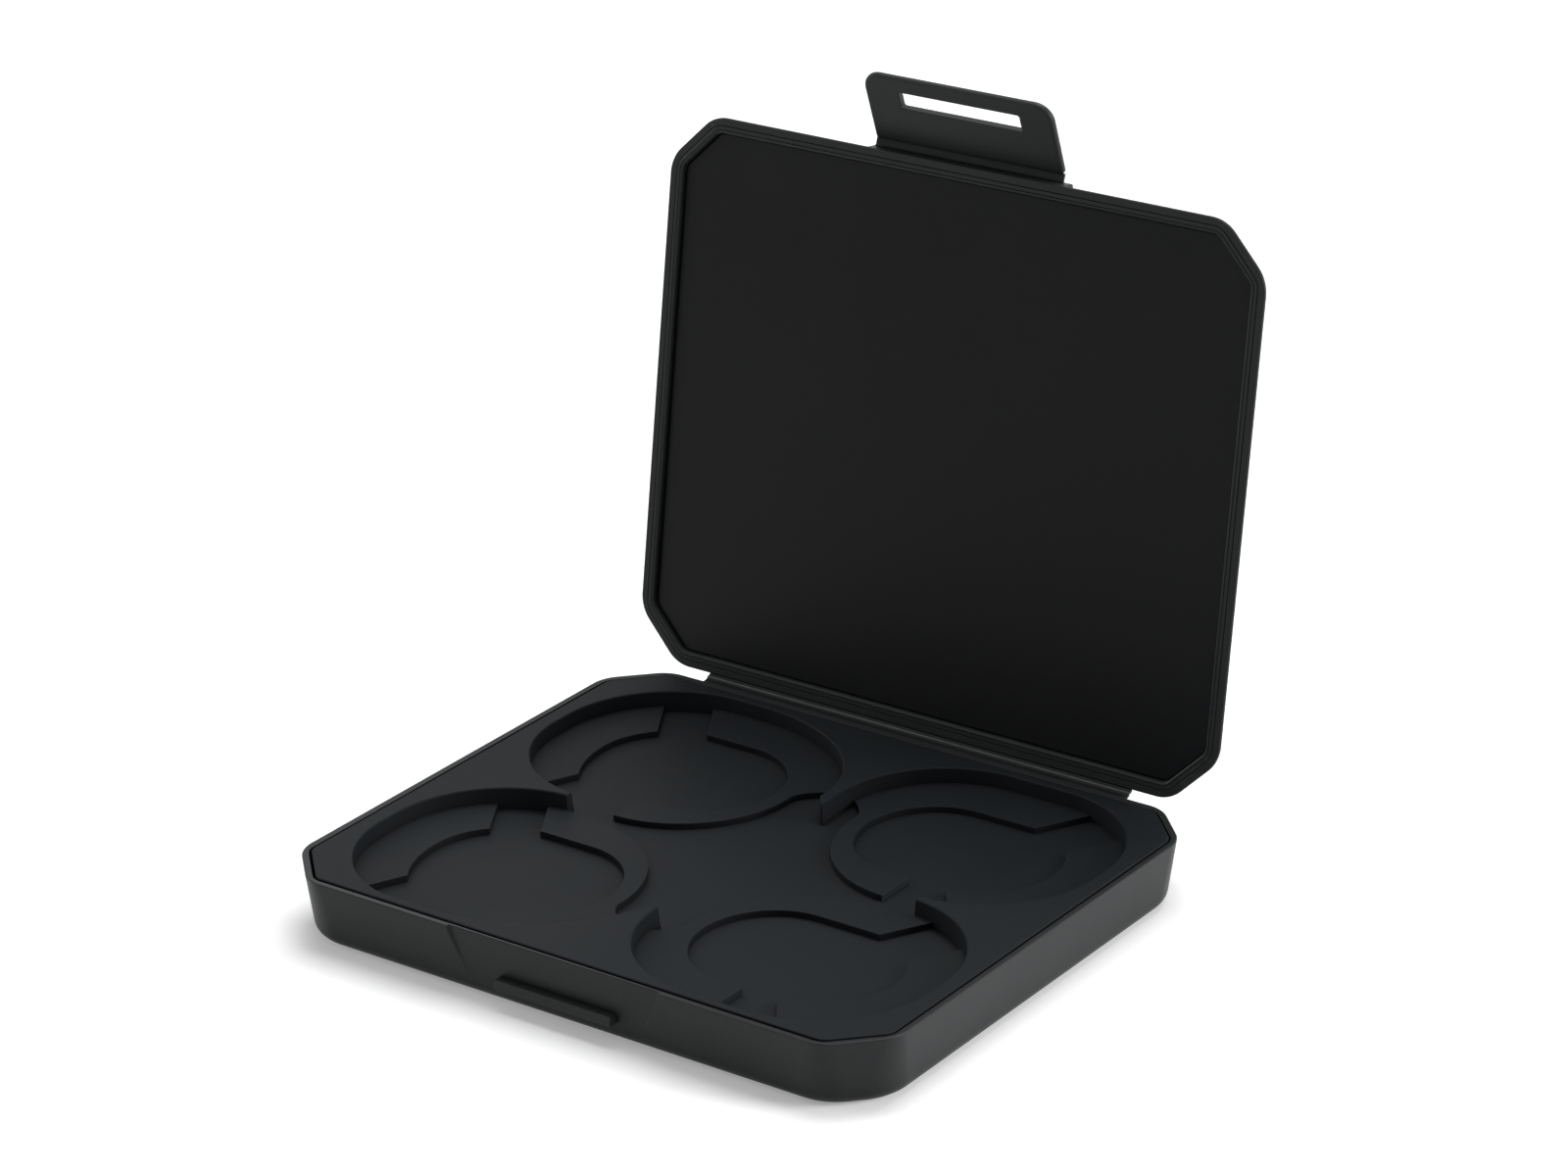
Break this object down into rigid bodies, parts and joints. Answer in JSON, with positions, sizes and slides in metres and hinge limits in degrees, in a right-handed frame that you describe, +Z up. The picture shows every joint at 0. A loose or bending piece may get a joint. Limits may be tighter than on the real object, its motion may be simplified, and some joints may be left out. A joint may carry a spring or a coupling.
{
  "type": "lens filter case",
  "caption": "Slim octagonal case standing open: a soft stepped tray with round wells for lens filters, a bevelled lid on a living hinge, and a slotted clasp flap that hooks under a catch.",
  "frame": {"origin": "middle of the flat face that the base stands on", "axes": "+Z up, +X to the right as seen from the front, -Y towards the front with the catch; the lid's hinge runs along X at the back"},
  "size_m": [0.11, 0.1115, 0.1136],
  "materials": {
    "shell_plastic": "fine-grained satin",
    "hinge_plastic": "smooth, worked shiny by the fold",
    "tray_rubber": "matte soft-touch",
    "liner_satin": "smooth satin"
  },
  "bodies": {
    "base": {"base_shell": "shell_plastic", "filter_tray": "tray_rubber", "lid_hinge_web": "hinge_plastic"},
    "lid": {"lid_shell": "shell_plastic", "lid_liner": "liner_satin", "clasp_hinge_web": "hinge_plastic"},
    "clasp": {"clasp_flap": "shell_plastic"}
  },
  "joints": [
    {"name": "lid_hinge", "type": "hinge", "parent": "base", "child": "lid", "pos_m": [0, 0.04629, 0.01063], "axis": [1, 0, 0], "range_deg": [-80.5, 99.5], "deforming": ["lid_hinge_web"]},
    {"name": "clasp_hinge", "type": "hinge", "parent": "lid", "child": "clasp", "pos_m": [0, 0.06435, 0.1007], "axis": [1, 0, 0], "range_deg": [-60, 66.4], "deforming": ["clasp_hinge_web"]}
  ]
}
